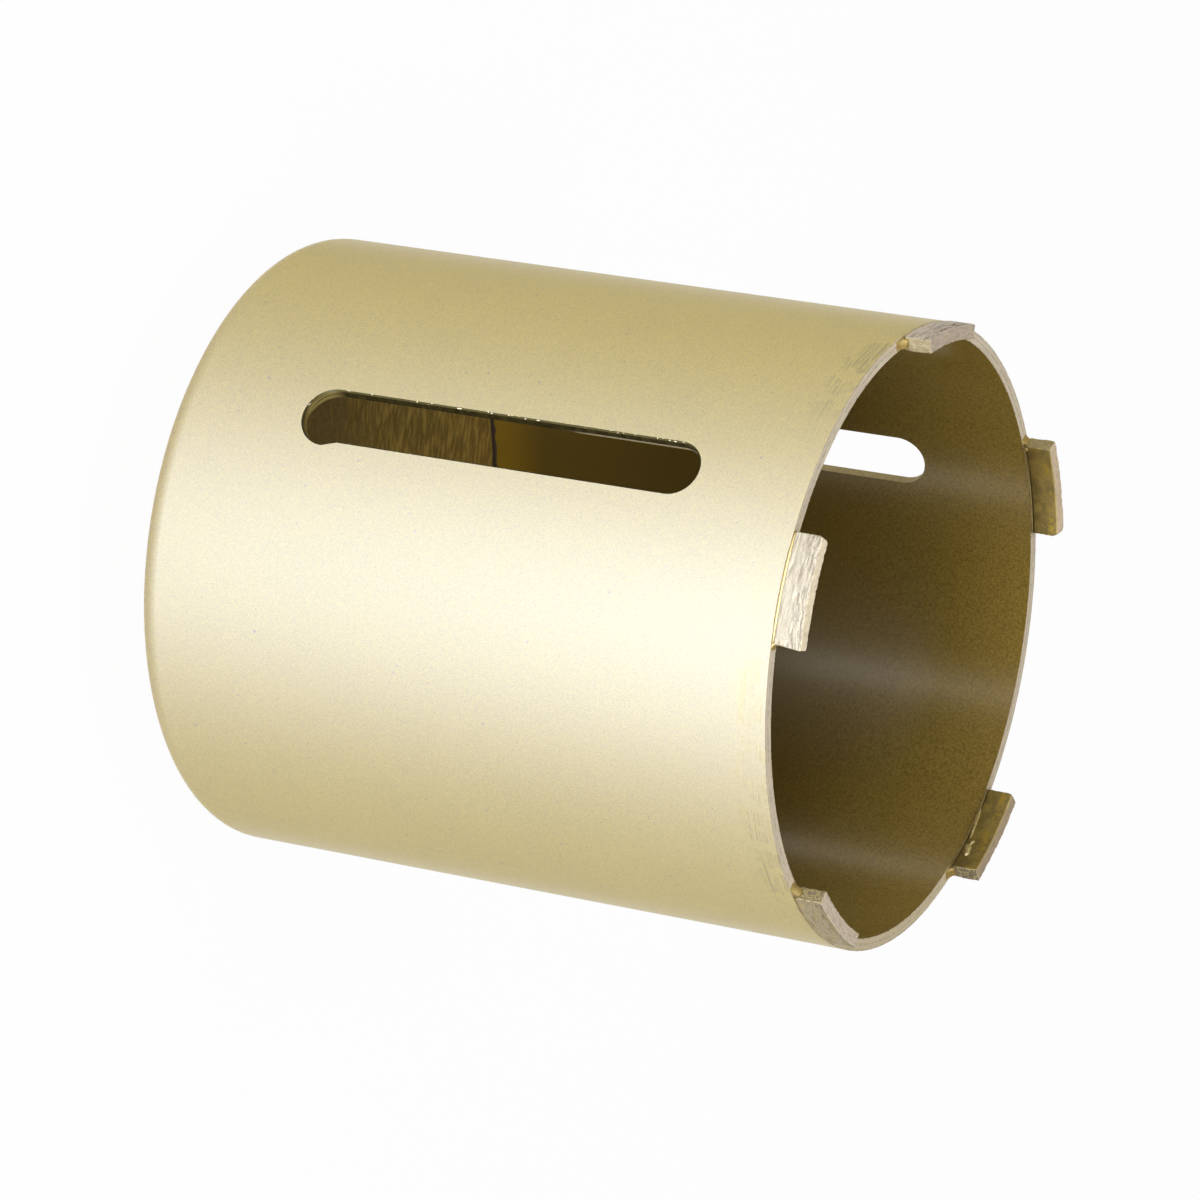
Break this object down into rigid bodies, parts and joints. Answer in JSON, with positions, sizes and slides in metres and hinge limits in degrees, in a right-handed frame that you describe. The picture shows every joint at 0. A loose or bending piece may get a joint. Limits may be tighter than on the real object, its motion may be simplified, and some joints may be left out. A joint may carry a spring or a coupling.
{
  "type": "diamond core bit",
  "caption": "Slotted steel core barrel with diamond segments on its rim, closed by a back plate with a threaded hub, for drilling round holes in masonry.",
  "frame": {"origin": "centre of the hub's end face, where the drill's spindle enters", "axes": "+Z along the drilling axis towards the crown, -Y through the middle of the front slot, +X to the right when that slot is seen from the front with the crown up"},
  "size_m": [0.1268, 0.1266, 0.1631],
  "materials": {
    "barrel_paint": "pale gold metallic paint, fine orange peel, bare steel on the rim",
    "plate_paint": "gold paint over a turned and brushed disc, darker inside the barrel",
    "weld_paint": "gold paint over weld metal",
    "hub_paint": "gold paint with a bare end face and thread",
    "seam_paint": "glossy gold paint over a weld seam",
    "sinter": "ground metal matrix with diamond grit, streaked and speckled"
  },
  "bodies": {
    "root": {"barrel": "barrel_paint", "back_plate": "plate_paint", "plate_weld": "weld_paint", "hub": "hub_paint", "hub_weld": "weld_paint", "segment_1": "sinter", "segment_2": "sinter", "segment_3": "sinter", "segment_4": "sinter", "segment_5": "sinter", "seam_1": "seam_paint", "seam_2": "seam_paint", "seam_3": "seam_paint", "seam_4": "seam_paint", "seam_5": "seam_paint"}
  },
  "joints": []
}
